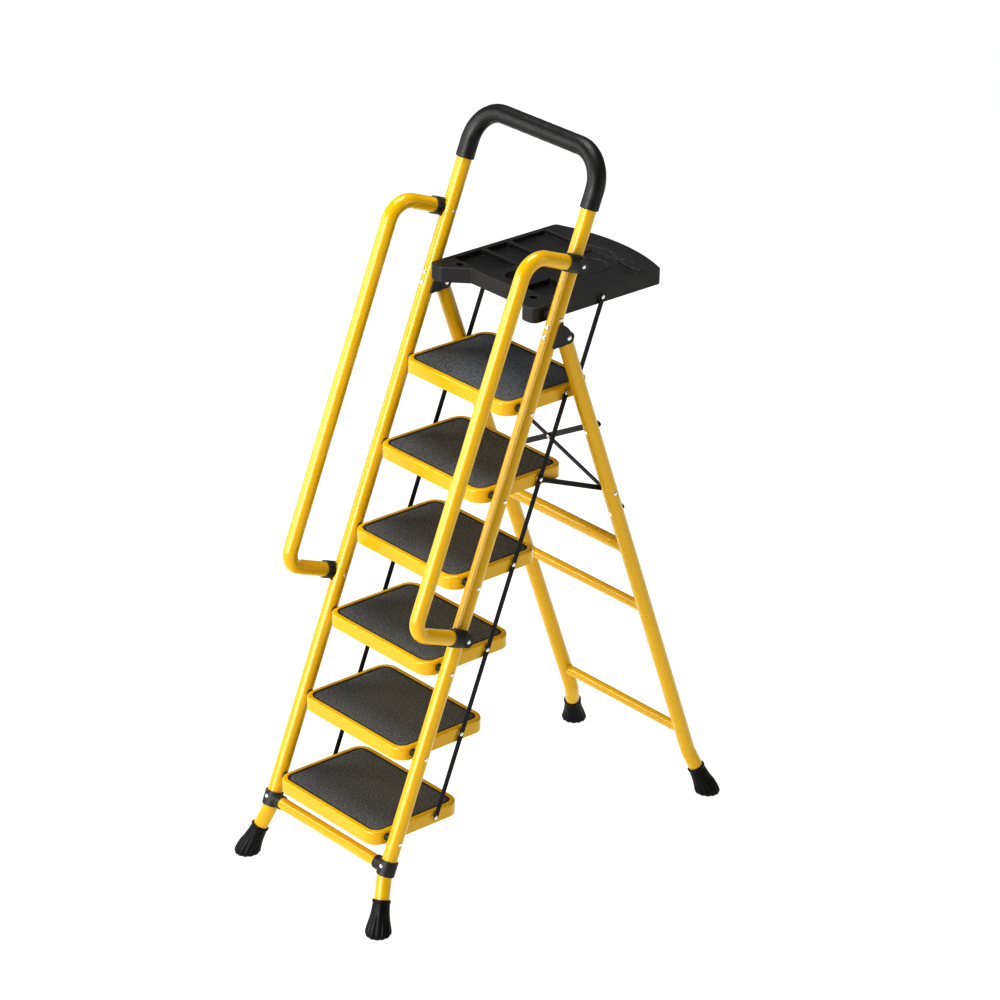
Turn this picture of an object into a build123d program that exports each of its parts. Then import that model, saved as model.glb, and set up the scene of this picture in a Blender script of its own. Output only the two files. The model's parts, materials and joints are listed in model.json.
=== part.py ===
"""Folding platform step ladder: six treads, a tool tray, two handrails and a braced rear frame.

Millimetres, +Z up. X runs along the treads, +X is on the right of somebody climbing, and +Y points
away from the climber. The origin is on the ground, midway between the front and the rear feet.
"""
import os
from math import atan2, cos, degrees, hypot, radians, sin

from build123d import *

os.makedirs("parts", exist_ok=True)

# ---- driving dimensions -------------------------------------------------------------------------
RISE = 205.0                 # height from one tread to the next
STEP_COUNT = 6
LEAN = radians(21.0)         # front frame, from the vertical
BASE_DEPTH = 1112.0          # front foot centre to rear foot centre, on the ground
STILE_X = 222.0              # stile and rear leg centre lines, from the middle
FOOT_X = 257.5               # foot centres, from the middle: the legs splay near the ground
SPLAY_RUN = 134.0            # length of the splayed end, along the leg
SPLAY_BEND = 60.0            # centre line radius where the splay starts
TUBE_R = 19.0                # main tubes, outside
WALL = 1.2                   # steel tube wall
FIT = 0.05                   # running and assembly clearance on a radius

HANDLE_RUN = 1961.0          # ground to top bar centre line, along the stile
HANDLE_BEND = 88.0
GRIP_R = 23.0
GRIP_START = 1829.0          # lower ends of the foam grip, along the stile

RAIL_X = 239.5               # handrail plane, from the middle
RAIL_REACH = 167.0           # handrail centre line in front of the stile axis
RAIL_LOW = 759.0             # lower and upper rail ends, along the stile
RAIL_HIGH = 1699.0
RAIL_BENDS = (41.0, 57.0)    # lower and upper bend
RAIL_END = 24.0              # where the rail stops inside its socket, in front of the stile axis

CROSSBAR_RUN = 161.0         # front crossbar, along the stile
CROSSBAR_R = 15.5

PIN_LIFT = 8.3               # hinge pins above the level that treads and tray are drawn from
PIN_R = 3.0                  # hinge pins and link rivets
HEAD_CLEAR = 0.9             # hinge pin's inner head, clear of the curved pan corner
SPACER_R = 9.5
SHOULDER_R = 5.0             # link rivet between a tread's side and its rod
HEAD_R = 5.5
HEAD_H = 2.0
HEAD_TAPER = 0.6             # top of a rivet head, as a share of its base
PAN_X = 190.0                # half width of a tread pan and of the tray
PAN_FRONT = -36.3            # tread pan, from the stile axis at its own level
PAN_REAR = 242.3
PAN_TOP = 24.5
PAN_BOTTOM = -9.5
PAN_CORNER = 38.0
PAN_SHEET = 1.2
PAN_EDGE = 6.0               # rolled top edge
RIM = 14.0                   # flat rim round the mat
MAT_GAP = 1.0
MAT_DROP = 0.6               # mat surface below the rim
MAT_T = 3.6
MAT_CORNER = 25.0

CRANK = 151.0                # hinge axis to lower link rivet, and to the fold strut
TRAY_CRANK = 176.0           # hinge axis to upper link rivet, on the top tread and on the tray
ROD_X = (194.0, 197.0)       # link rod, inner and outer face
STRUT_X = (197.6, 200.6)     # fold strut, inner and outer face
ROD_W = 12.0
STRUT_STEP = 5               # the tread that the fold struts hold

TRAY_Z = 1449.0              # tray level above the ground
TRAY_TOP = 30.0              # tray deck above that level
TRAY_DEEP = 38.5
TRAY_WALL = 3.0

PIVOT_Z = 1406.0             # rear frame pivot above the ground
PIVOT_BACK = 43.0            # behind the stile axis, square to it
PIVOT_PIN_R = 4.0
EAR_GAP = 0.4                # each side of the rear leg
EAR_T = 3.0
REAR_BARS = {"upper": (774.5, 16.0), "middle": (584.5, 13.0), "lower": (191.5, 13.0)}
LEG_END_R = 18.6             # rounded top of a rear leg, about its pivot
STRUT_PIN_Z = 949.0          # strut pin on the rear leg, above the ground
BRACE_MID_Z = 1013.0         # cross brace centre, above the ground
BRACE_RISE = 122.0           # cross brace ends, above and below its centre
BRACE_T = 3.0
BRACE_W = 14.0
BRACE_EYE_R = 8.0

FOOT_R = 32.5
SOLE_EDGE = 5.0
FOOT_TOP = 86.0              # boot length along the splayed leg
FOOT_NECK_R = 21.2
FOOT_LIP_R = 22.8
FOOT_LIP = 8.0
TUBE_END = 30.0              # tube end above the ground, along the splayed leg

# ---- places worked out from them ----------------------------------------------------------------
FRONT_Y = -BASE_DEPTH / 2
REAR_Y = BASE_DEPTH / 2
UP_STILE = Vector(0, sin(LEAN), cos(LEAN))
AHEAD = Vector(0, -cos(LEAN), sin(LEAN))      # square to the stile, towards the climber
FRONT_FOOT = Vector(0, FRONT_Y, 0)


def on_stile(run, ahead=0.0, x=0.0):
    """Point at a distance along the stile from the ground, and square out in front of its axis."""
    return FRONT_FOOT + UP_STILE * run + AHEAD * ahead + Vector(x, 0, 0)


def hinge_at(height):
    """Point of the stile axis, in the middle plane, at a height above the ground."""
    return on_stile(height / cos(LEAN))


PIVOT = hinge_at(PIVOT_Z + PIVOT_BACK * sin(LEAN)) - AHEAD * PIVOT_BACK
REAR_LEAN = atan2(REAR_Y - PIVOT.Y, PIVOT.Z)
UP_LEG = Vector(0, -sin(REAR_LEAN), cos(REAR_LEAN))
LEG_RUN = hypot(REAR_Y - PIVOT.Y, PIVOT.Z)
REAR_FOOT = Vector(0, REAR_Y, 0)
BEHIND = Vector(0, cos(REAR_LEAN), sin(REAR_LEAN))  # square to the rear legs, away from the climber

STILE_PLANE = Plane(FRONT_FOOT, x_dir=(1, 0, 0), z_dir=AHEAD)
LEG_PLANE = Plane(REAR_FOOT, x_dir=(1, 0, 0), z_dir=BEHIND * -1)
LEVELS = {n: hinge_at(n * RISE) for n in range(1, STEP_COUNT + 1)}
PINS = {n: hinge_at(n * RISE + PIN_LIFT) for n in LEVELS}
TRAY_LEVEL = hinge_at(TRAY_Z)
TRAY_PIN = hinge_at(TRAY_Z + PIN_LIFT)
SIDES = {"left": -1, "right": 1}
ON_BASE = (Align.CENTER, Align.CENTER, Align.MIN)


def on_leg(height):
    """Point of the rear leg axis, in the middle plane, at a height above the ground."""
    return REAR_FOOT + UP_LEG * (height / cos(REAR_LEAN))


def write(piece, name):
    """Label one finished sub-part and write its STEP file."""
    piece.part.label = name
    export_step(piece.part, f"parts/{name}.step")


def bar(start, end, radius, mode=Mode.ADD):
    """Round bar between two points, added to the part being built."""
    axis = end - start
    with Locations(Plane(start, z_dir=axis)):
        Cylinder(radius, axis.length, align=ON_BASE, mode=mode)


def head(face, out, radius=HEAD_R, height=HEAD_H):
    """Domed rivet head that stands on a point and points outwards."""
    with Locations(Plane(face, z_dir=out)):
        Cone(radius, radius * HEAD_TAPER, height, align=ON_BASE)


def rivet(inner, outer, radius=PIN_R, head_r=HEAD_R, head_h=HEAD_H):
    """Shank between two faces, with a head on each."""
    axis = (outer - inner).normalized()
    bar(inner, outer, radius)
    head(outer, axis, head_r, head_h)
    head(inner, axis * -1, head_r, head_h)


def across(point, side, near, far):
    """The two points at distances near and far from the middle, on one side, level with a point."""
    return point + Vector(side * near, 0, 0), point + Vector(side * far, 0, 0)


# ---- front frame --------------------------------------------------------------------------------
def splayed_end(plane_run):
    """Tube end and start of the splay, as (x, run) in a frame's own plane."""
    end_x = FOOT_X - (FOOT_X - STILE_X) * plane_run / SPLAY_RUN
    return (end_x, plane_run), (STILE_X, SPLAY_RUN)


def make_front_tube():
    end, bend = splayed_end(TUBE_END)
    mirrored = [(-x, run) for x, run in (end, bend, (STILE_X, HANDLE_RUN))]
    points = mirrored + [(STILE_X, HANDLE_RUN), bend, end]
    with BuildPart() as tube:
        with BuildLine(STILE_PLANE) as route:
            FilletPolyline(*points, radius=[SPLAY_BEND, HANDLE_BEND, HANDLE_BEND, SPLAY_BEND])
        with BuildSketch(Plane(route.line @ 0, z_dir=route.line % 0)):
            Circle(TUBE_R)
            Circle(TUBE_R - WALL, mode=Mode.SUBTRACT)
        sweep(path=route.line)
        for side in SIDES.values():
            for point in list(PINS.values()) + [TRAY_PIN]:
                bar(*across(point, side, STILE_X - 30, STILE_X + 30), PIN_R + FIT, Mode.SUBTRACT)
            for run in (RAIL_LOW, RAIL_HIGH):
                bar(*across(on_stile(run), side, STILE_X - 30, STILE_X + 30), PIN_R + FIT, Mode.SUBTRACT)
            for run in CROSSBAR_BOLTS + PIVOT_BOLTS:
                middle = on_stile(run, x=side * STILE_X)
                bar(middle - AHEAD * 30, middle + AHEAD * 30, PIN_R + FIT, Mode.SUBTRACT)
    write(tube, "front_frame_tube")


def make_grip():
    points = [(-STILE_X, GRIP_START), (-STILE_X, HANDLE_RUN), (STILE_X, HANDLE_RUN), (STILE_X, GRIP_START)]
    with BuildPart() as grip:
        with BuildLine(STILE_PLANE) as route:
            FilletPolyline(*points, radius=HANDLE_BEND)
        with BuildSketch(Plane(route.line @ 0, z_dir=route.line % 0)):
            Circle(GRIP_R)
            Circle(TUBE_R + FIT, mode=Mode.SUBTRACT)
        sweep(path=route.line)
    write(grip, "handle_grip")


COLLAR_R = 23.0
SOCKET_R = 18.0
SOCKET_END = 184.0            # open end of the crossbar socket, from the middle
CROSSBAR_BOLTS = [CROSSBAR_RUN + 4.0]
COLLAR_H = 38.0
COLLAR_EDGE = 1.5
WEB_REACH = 45.0
WEB_T = 24.0


def make_crossbar():
    with BuildPart() as crossbar:
        with BuildSketch(Plane(on_stile(CROSSBAR_RUN), z_dir=(1, 0, 0))):
            Circle(CROSSBAR_R)
            Circle(CROSSBAR_R - WALL, mode=Mode.SUBTRACT)
        extrude(amount=STILE_X - COLLAR_R - 1, both=True)
    write(crossbar, "front_crossbar")


def make_crossbar_bracket(name, side):
    middle = on_stile(CROSSBAR_RUN, x=side * STILE_X)
    half = UP_STILE * (COLLAR_H / 2)
    with BuildPart() as bracket:
        bar(middle - half, middle + half, COLLAR_R)
        fillet(bracket.edges().filter_by(GeomType.CIRCLE), COLLAR_EDGE)
        bar(middle, on_stile(CROSSBAR_RUN, x=side * SOCKET_END), SOCKET_R)
        with BuildSketch(Plane(middle, x_dir=(1, 0, 0), z_dir=AHEAD)):
            Polygon((-side * WEB_REACH, 0), (0, 0), (0, -COLLAR_H / 2 + COLLAR_EDGE), align=None)
        extrude(amount=WEB_T / 2, both=True)
        bar(middle - half * 2, middle + half * 2, TUBE_R + FIT, Mode.SUBTRACT)
        bar(on_stile(CROSSBAR_RUN, x=side * (STILE_X - COLLAR_R)), on_stile(CROSSBAR_RUN, x=side * 150),
            CROSSBAR_R + FIT, Mode.SUBTRACT)
        for run in CROSSBAR_BOLTS:
            hole = on_stile(run, x=side * STILE_X)
            bar(hole - AHEAD * 30, hole + AHEAD * 30, PIN_R + FIT, Mode.SUBTRACT)
    write(bracket, name)


# ---- handrails ----------------------------------------------------------------------------------
def rail_plane(side):
    """Side plane of a handrail: local x runs square out from the stile, local y up along it."""
    return Plane(on_stile(0, x=side * RAIL_X), x_dir=AHEAD, z_dir=(-1, 0, 0))


def make_handrail(name, side):
    points = [(RAIL_END, RAIL_LOW), (RAIL_REACH, RAIL_LOW), (RAIL_REACH, RAIL_HIGH), (RAIL_END, RAIL_HIGH)]
    with BuildPart() as rail:
        with BuildLine(rail_plane(side)) as route:
            FilletPolyline(*points, radius=list(RAIL_BENDS))
        with BuildSketch(Plane(route.line @ 0, z_dir=route.line % 0)):
            Circle(TUBE_R)
            Circle(TUBE_R - WALL, mode=Mode.SUBTRACT)
        sweep(path=route.line)
    write(rail, name)


RAIL_SOCKET_R = 22.2
RAIL_SOCKET_END = 41.0
RAIL_COLLAR_H = 42.0
RAIL_PAD_R = 17.0
RAIL_PAD_X = 262.0            # outer face of the bolt pad, from the middle


def make_rail_bracket(name, side, run):
    """Half shell on the outer side of a stile, with the socket that holds one end of a handrail."""
    stile = on_stile(run, x=side * STILE_X)
    rail = on_stile(run, x=side * RAIL_X)
    half = UP_STILE * (RAIL_COLLAR_H / 2)
    with BuildPart() as bracket:
        bar(stile - half, stile + half, COLLAR_R)
        fillet(bracket.edges().filter_by(GeomType.CIRCLE), COLLAR_EDGE)
        with BuildSketch(Plane(stile, x_dir=AHEAD, z_dir=(-side, 0, 0))):
            Rectangle(3 * COLLAR_R, 2 * RAIL_COLLAR_H)
        extrude(amount=2 * COLLAR_R, mode=Mode.SUBTRACT)
        bar(stile, on_stile(run, x=side * RAIL_PAD_X), RAIL_PAD_R)
        pad_edge = bracket.edges().filter_by(GeomType.CIRCLE).sort_by(Axis.X)[-1 if side > 0 else 0]
        fillet(pad_edge, 2 * COLLAR_EDGE)
        bar(rail, rail + AHEAD * RAIL_SOCKET_END, RAIL_SOCKET_R)
        bar(stile - half * 2, stile + half * 2, TUBE_R + FIT, Mode.SUBTRACT)
        bar(rail + AHEAD * (RAIL_END - 1), rail + AHEAD * (RAIL_SOCKET_END + 9), TUBE_R + FIT, Mode.SUBTRACT)
        bar(*across(on_stile(run), side, STILE_X - 30, RAIL_PAD_X + 9), PIN_R + FIT, Mode.SUBTRACT)
    write(bracket, name)


# ---- feet ---------------------------------------------------------------------------------------
def foot_axis(side, front):
    """Ground centre of a foot, and the direction of the splayed leg above it."""
    up = UP_STILE if front else UP_LEG
    ground = Vector(side * FOOT_X, FRONT_Y if front else REAR_Y, 0)
    start = (FRONT_FOOT if front else REAR_FOOT) + up * SPLAY_RUN + Vector(side * STILE_X, 0, 0)
    return ground, (start - ground).normalized()


def make_foot(name, side, front):
    ground, up = foot_axis(side, front)
    neck = Plane(ground + up * FOOT_TOP, x_dir=(1, 0, 0), z_dir=up)
    with BuildPart() as foot:
        with BuildSketch(Plane(ground, x_dir=(1, 0, 0), z_dir=(0, 0, 1))):
            Circle(FOOT_R)
        with BuildSketch(neck):
            Circle(FOOT_NECK_R)
        loft()
        fillet(foot.edges().group_by(Axis.Z)[0], SOLE_EDGE)
        bar(ground + up * (FOOT_TOP - FOOT_LIP), ground + up * FOOT_TOP, FOOT_LIP_R)
        bar(ground + up * (TUBE_END - 1), ground + up * (FOOT_TOP + 9), TUBE_R + FIT, Mode.SUBTRACT)
    write(foot, name)


# ---- rear frame ---------------------------------------------------------------------------------
def make_rear_leg(name, side):
    end, bend = splayed_end(TUBE_END)
    points = [(side * end[0], end[1]), (side * bend[0], bend[1]), (side * STILE_X, LEG_RUN + TUBE_R)]
    strut_pin = on_leg(STRUT_PIN_Z)
    with BuildPart() as leg:
        with BuildLine(LEG_PLANE) as route:
            FilletPolyline(*points, radius=SPLAY_BEND)
        with BuildSketch(Plane(route.line @ 0, z_dir=route.line % 0)):
            Circle(TUBE_R)
            Circle(TUBE_R - WALL, mode=Mode.SUBTRACT)
        sweep(path=route.line)
        with BuildSketch(Plane(PIVOT + Vector(side * STILE_X, 0, 0), x_dir=BEHIND, z_dir=(1, 0, 0))):
            Rectangle(3 * TUBE_R, 2 * TUBE_R, align=(Align.CENTER, Align.MIN))
            Circle(LEG_END_R, mode=Mode.SUBTRACT)
        extrude(amount=2 * TUBE_R, both=True, mode=Mode.SUBTRACT)
        bar(*across(PIVOT, side, STILE_X - 30, STILE_X + 30), PIVOT_PIN_R + FIT, Mode.SUBTRACT)
        bar(*across(strut_pin, side, STILE_X - 30, STILE_X + 30), PIVOT_PIN_R + FIT, Mode.SUBTRACT)
        for height in (BRACE_MID_Z - BRACE_RISE, BRACE_MID_Z + BRACE_RISE):
            middle = on_leg(height) + Vector(side * STILE_X, 0, 0)
            bar(middle - BEHIND * 30, middle + BEHIND * 30, PIN_R + FIT, Mode.SUBTRACT)
    write(leg, name)


def make_rear_bar(name, height, radius):
    middle = on_leg(height)
    with BuildPart() as crossbar:
        with BuildSketch(Plane(middle, z_dir=(1, 0, 0))):
            Circle(radius)
            Circle(radius - WALL, mode=Mode.SUBTRACT)
        extrude(amount=STILE_X, both=True)
        for side in SIDES.values():
            leg = middle + Vector(side * STILE_X, 0, 0)
            bar(leg - UP_LEG * 40, leg + UP_LEG * 40, TUBE_R + FIT, Mode.SUBTRACT)
    write(crossbar, name)


PIVOT_RUN = (PIVOT - FRONT_FOOT).dot(UP_STILE)
PIVOT_BOLTS = [PIVOT_RUN - 13.0, PIVOT_RUN + 13.0]
SADDLE_UP = 32.0              # half height of the pivot bracket along the stile
EAR_R = 15.0


def make_pivot_bracket(name, side):
    middle = on_stile(PIVOT_RUN, x=side * STILE_X)
    ear_plane = Plane(middle, x_dir=AHEAD * -1, z_dir=(1, 0, 0))
    outer = TUBE_R + EAR_GAP + EAR_T
    up = 1 if ear_plane.y_dir.Z > 0 else -1
    with BuildPart() as bracket:
        with BuildSketch(Plane(middle, x_dir=(1, 0, 0), z_dir=UP_STILE)):
            Circle(outer)
        extrude(amount=SADDLE_UP, both=True)
        with BuildSketch(ear_plane):
            with BuildLine():
                top = (0, up * SADDLE_UP)
                low = (0, -up * SADDLE_UP)
                Polyline(top, (PIVOT_BACK - 16, up * SADDLE_UP * 0.75), (PIVOT_BACK, up * EAR_R))
                RadiusArc((PIVOT_BACK, up * EAR_R), (PIVOT_BACK, -up * EAR_R), up * EAR_R)
                Polyline((PIVOT_BACK, -up * EAR_R), (PIVOT_BACK - 16, -up * SADDLE_UP * 0.75), low, top)
            make_face()
        extrude(amount=outer, both=True)
        with BuildSketch(ear_plane):
            with Locations((outer + 1, 0)):
                Rectangle(80, 4 * SADDLE_UP, align=(Align.MIN, Align.CENTER))
        extrude(amount=TUBE_R + EAR_GAP, both=True, mode=Mode.SUBTRACT)
        with BuildSketch(ear_plane):
            Rectangle(80, 4 * SADDLE_UP, align=(Align.MAX, Align.CENTER))
        extrude(amount=2 * outer, both=True, mode=Mode.SUBTRACT)
        bar(middle - UP_STILE * 60, middle + UP_STILE * 60, TUBE_R + FIT, Mode.SUBTRACT)
        bar(*across(PIVOT, side, STILE_X - 40, STILE_X + 40), PIVOT_PIN_R + FIT, Mode.SUBTRACT)
        bar(*across(PIVOT, side, STILE_X - TUBE_R - EAR_GAP, STILE_X + TUBE_R + EAR_GAP),
            TUBE_R + EAR_GAP, Mode.SUBTRACT)
        bar(*across(TRAY_PIN, side, STILE_X - 40, STILE_X + 40), SPACER_R + 1, Mode.SUBTRACT)
        for run in PIVOT_BOLTS:
            hole = on_stile(run, x=side * STILE_X)
            bar(hole, hole - AHEAD * 40, PIN_R + FIT, Mode.SUBTRACT)
    write(bracket, name)


def make_brace(name, slope, stack):
    """Flat bar across the backs of the rear legs, clear of them by a stack of bar thicknesses."""
    centre = on_leg(BRACE_MID_Z) + BEHIND * (TUBE_R + FIT + stack * (BRACE_T + 0.1))
    ends = [(-STILE_X, -slope * BRACE_RISE / cos(REAR_LEAN)), (STILE_X, slope * BRACE_RISE / cos(REAR_LEAN))]
    plane = Plane(centre, x_dir=(-1, 0, 0), z_dir=BEHIND)
    local = [(-x, run) for x, run in ends]
    length = hypot(local[1][0] - local[0][0], local[1][1] - local[0][1])
    angle = atan2(local[1][1] - local[0][1], local[1][0] - local[0][0])
    with BuildPart() as brace:
        with BuildSketch(plane):
            SlotCenterToCenter(length, BRACE_W, rotation=degrees(angle))
            with Locations(*local):
                Circle(BRACE_EYE_R)
            with Locations(*local, (0, 0)):
                Circle(PIN_R + FIT, mode=Mode.SUBTRACT)
        extrude(amount=BRACE_T)
        if stack:
            with BuildSketch(plane):
                with Locations(*local):
                    Circle(BRACE_EYE_R)
                    Circle(PIN_R + FIT, mode=Mode.SUBTRACT)
            extrude(amount=-stack * (BRACE_T + 0.1))
    write(brace, name)


def make_brace_rivets():
    back = TUBE_R + FIT + 2 * BRACE_T + 0.1 + FIT
    with BuildPart() as rivets:
        centre = on_leg(BRACE_MID_Z)
        rivet(centre + BEHIND * (TUBE_R + FIT / 2), centre + BEHIND * back)
        for side in SIDES.values():
            for slope in (-1, 1):
                end = on_leg(BRACE_MID_Z + slope * BRACE_RISE) + Vector(side * STILE_X, 0, 0)
                single = slope * side < 0
                depth = TUBE_R + FIT + BRACE_T + FIT if single else back
                rivet(end - BEHIND * (TUBE_R + FIT), end + BEHIND * depth)
    write(rivets, "cross_brace_rivets")


# ---- treads -------------------------------------------------------------------------------------
PAN_DEPTH = PAN_REAR - PAN_FRONT
PAN_MIDDLE = (PAN_FRONT + PAN_REAR) / 2
MAT_FLOOR = PAN_TOP - MAT_DROP - MAT_T


def tread_outline(level, height, inset, corner):
    """Rounded outline of a tread, drawn in from the pan's outer edge, at a height above its level."""
    with BuildSketch(Plane(level + Vector(0, PAN_MIDDLE, height))) as outline:
        RectangleRounded(2 * (PAN_X - inset), PAN_DEPTH - 2 * inset, corner)
    return outline.sketch


def make_pan(name, number):
    level = LEVELS[number]
    wall = PAN_SHEET
    cranks = [CRANK] if number < STEP_COUNT else [CRANK, TRAY_CRANK]
    with BuildPart() as pan:
        extrude(tread_outline(level, PAN_BOTTOM, 0, PAN_CORNER), amount=PAN_TOP - PAN_BOTTOM)
        fillet(pan.faces().sort_by(Axis.Z)[-1].edges(), PAN_EDGE)
        recess = tread_outline(level, MAT_FLOOR, RIM - MAT_GAP, MAT_CORNER + MAT_GAP)
        extrude(recess, amount=2 * PAN_TOP, mode=Mode.SUBTRACT)
        hollow = tread_outline(level, PAN_BOTTOM, wall, PAN_CORNER - wall)
        extrude(hollow, amount=MAT_FLOOR - wall - PAN_BOTTOM, mode=Mode.SUBTRACT)
        with BuildSketch(Plane(level + Vector(0, PAN_MIDDLE, MAT_FLOOR - wall - 1))):
            RectangleRounded(2 * (PAN_X - PAN_EDGE), PAN_DEPTH - 2 * PAN_EDGE, PAN_CORNER - PAN_EDGE)
            RectangleRounded(2 * (PAN_X - RIM + wall), PAN_DEPTH - 2 * (RIM - wall), MAT_CORNER + wall,
                             mode=Mode.SUBTRACT)
        extrude(amount=PAN_TOP - wall - (MAT_FLOOR - wall - 1), mode=Mode.SUBTRACT)
        for side in SIDES.values():
            for reach in [0.0] + cranks:
                point = PINS[number] + Vector(0, reach, 0)
                bar(*across(point, side, PAN_X - 9, PAN_X + 9), PIN_R + FIT, Mode.SUBTRACT)
    write(pan, name)


def make_mat(name, number):
    with BuildPart() as mat:
        extrude(tread_outline(LEVELS[number], MAT_FLOOR, RIM, MAT_CORNER), amount=MAT_T)
        chamfer(mat.faces().sort_by(Axis.Z)[-1].edges(), 0.8)
    write(mat, name)


def make_hinge_hardware():
    """Hinge pins of the treads and the tray, and the spacers that centre them between the stiles."""
    joints = list(PINS.values()) + [TRAY_PIN]
    with BuildPart() as pins:
        for point in joints:
            wall = TRAY_WALL if point is TRAY_PIN else PAN_SHEET
            for side in SIDES.values():
                rivet(*across(point, side, PAN_X - wall - HEAD_CLEAR, STILE_X + TUBE_R + FIT))
    write(pins, "hinge_pins")
    with BuildPart() as spacers:
        for point in joints:
            for side in SIDES.values():
                near, far = across(point, side, PAN_X + 2 * FIT, STILE_X - TUBE_R - 2 * FIT)
                bar(near, far, SPACER_R)
                bar(near, far, PIN_R + FIT, Mode.SUBTRACT)
    write(spacers, "hinge_spacers")


# ---- link rods and fold struts ------------------------------------------------------------------
def make_flat_bar(name, side, faces, start, end, holes, width=ROD_W):
    """Flat bar with round ends in a side plane, from start to end, with rivet holes along it."""
    middle = (start + end) * 0.5
    line = end - start
    plane = Plane(middle + Vector(side * faces[0], 0, 0), x_dir=line, z_dir=(side, 0, 0))
    with BuildPart() as flat:
        with BuildSketch(plane):
            SlotCenterToCenter(line.length, width)
            with Locations(*[(distance - line.length / 2, 0) for distance in holes]):
                Circle(PIN_R + FIT, mode=Mode.SUBTRACT)
        extrude(amount=faces[1] - faces[0])
    write(flat, name)


def rod_rivets(name, side, points, wall, face, strut_at=None):
    """Shouldered rivets that hold a link rod; the one at strut_at also carries the fold strut."""
    with BuildPart() as rivets:
        for index, point in enumerate(points):
            outer = STRUT_X[1] if index == strut_at else ROD_X[1]
            inner = PAN_X - wall[index]
            rivet(*across(point, side, inner - FIT, outer + FIT), head_h=1.6)
            bar(*across(point, side, PAN_X + face[index] + FIT, ROD_X[0] - FIT), SHOULDER_R)
    write(rivets, name)


def make_links(label, side):
    crank = Vector(0, CRANK, 0)
    tray_crank = Vector(0, TRAY_CRANK, 0)
    lower = [PINS[n] + crank for n in PINS]
    upper = [PINS[STEP_COUNT] + tray_crank, TRAY_PIN + tray_crank]
    pitch = RISE / cos(LEAN)
    lower_holes = [n * pitch for n in range(STEP_COUNT)]
    make_flat_bar(f"link_rod_lower_{label}", side, ROD_X, lower[0], lower[-1], lower_holes)
    make_flat_bar(f"link_rod_upper_{label}", side, ROD_X, *upper, [0.0, (upper[1] - upper[0]).length])
    rod_rivets(f"link_rivets_lower_{label}", side, lower, [PAN_SHEET] * STEP_COUNT, [0.0] * STEP_COUNT,
               STRUT_STEP - 1)
    rod_rivets(f"link_rivets_upper_{label}", side, upper, [PAN_SHEET, TRAY_WALL], [0.0, TRAY_BOSS_T])
    make_flat_bar(f"fold_strut_{label}", side, STRUT_X, lower[STRUT_STEP - 1], on_leg(STRUT_PIN_Z), [0.0])


STRUT_COLLAR_T = 1.9          # washer on a strut pin, between the strut and the leg


def make_strut_pins():
    """Pins through the rear legs; each stops just clear of its strut, where the linkage is open."""
    with BuildPart() as pins:
        for side in SIDES.values():
            near, far = across(on_leg(STRUT_PIN_Z), side, STRUT_X[1] + 0.4, STILE_X + TUBE_R + FIT)
            bar(near, far, PIVOT_PIN_R)
            bar(near, near + Vector(side * STRUT_COLLAR_T, 0, 0), PIVOT_PIN_R + 3)
            head(far, Vector(side, 0, 0))
    write(pins, "strut_pins")


def make_pivot_pins():
    reach = TUBE_R + EAR_GAP + EAR_T + FIT
    with BuildPart() as pins:
        for side in SIDES.values():
            near, far = across(PIVOT, side, STILE_X - reach, STILE_X + reach)
            bar(near, far, PIVOT_PIN_R)
            head(far, Vector(side, 0, 0), HEAD_R + 1)
            head(near, Vector(-side, 0, 0), HEAD_R + 1, 1.0)
    write(pins, "rear_pivot_pins")


def make_frame_bolts():
    """Through bolts that hold the plastic brackets on the stiles."""
    with BuildPart() as bolts:
        for side in SIDES.values():
            for run in (RAIL_LOW, RAIL_HIGH):
                rivet(*across(on_stile(run), side, STILE_X - TUBE_R - FIT, RAIL_PAD_X + FIT))
            for run in CROSSBAR_BOLTS:
                middle = on_stile(run, x=side * STILE_X)
                rivet(middle - AHEAD * (COLLAR_R + FIT), middle + AHEAD * (COLLAR_R + FIT))
            for run in PIVOT_BOLTS:
                middle = on_stile(run, x=side * STILE_X)
                bar(middle - AHEAD * (TUBE_R + EAR_T), middle + AHEAD * (TUBE_R + FIT), PIN_R)
                head(middle + AHEAD * (TUBE_R + FIT), AHEAD)
    write(bolts, "bracket_bolts")


# ---- tool tray ----------------------------------------------------------------------------------
TRAY_FRONT = 16.5             # recessed front edge, from the stile axis at the tray's level
TRAY_HORN = -38.5             # front of the two corner lobes
TRAY_BACK = 374.5             # back edge at the sides; it bows out to TRAY_BOW in the middle
TRAY_BOW = 413.0
HORN_IN = (94.0, 150.0)       # where a lobe leaves the front edge, and where its front starts
POCKETS = {                   # (x centre, y centre, width, depth in y, depth down)
    "front_left": (-110.0, 75.0, 132.0, 92.0, 15.0),
    "middle_left": (-110.0, 167.0, 132.0, 72.0, 15.0),
    "rear_left": (-98.0, 271.0, 156.0, 116.0, 12.0),
    "front_right": (110.0, 81.0, 84.0, 88.0, 15.0),
    "centre": (84.0, 233.0, 184.0, 192.0, 5.0),
}
POCKET_SKIN = 2.5
POCKET_CORNER = 9.0
TRAY_HORN_CORNER = 18.0
TRAY_CORNER = 14.0
TRAY_EDGE = 2.0
CUP = (8.0, 75.0, 33.0)       # cup hole: x, y, radius
HORN_HOLE = (133.0, 13.0, 11.0)
STRIP_HOLES = [(-124.0, 345.0, 5.5), (87.0, 346.0, 5.0), (116.0, 347.0, 6.5), (145.0, 346.0, 5.5),
               (180.0, 248.0, 2.5), (180.0, 286.0, 2.5)]
RING = (58.0, 264.0, 45.0)    # low ring on the floor of the centre pocket: x, y, radius
RING_W = 5.0
RING_H = 2.0
RIDGE = [(-35.0, 340.0), (0.0, 350.0), (35.0, 353.0), (79.0, 334.0), (121.0, 321.0), (149.0, 319.0),
         (176.0, 323.0)]
RIDGE_W = 6.0
RIDGE_H = 3.0                 # above the deck
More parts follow.
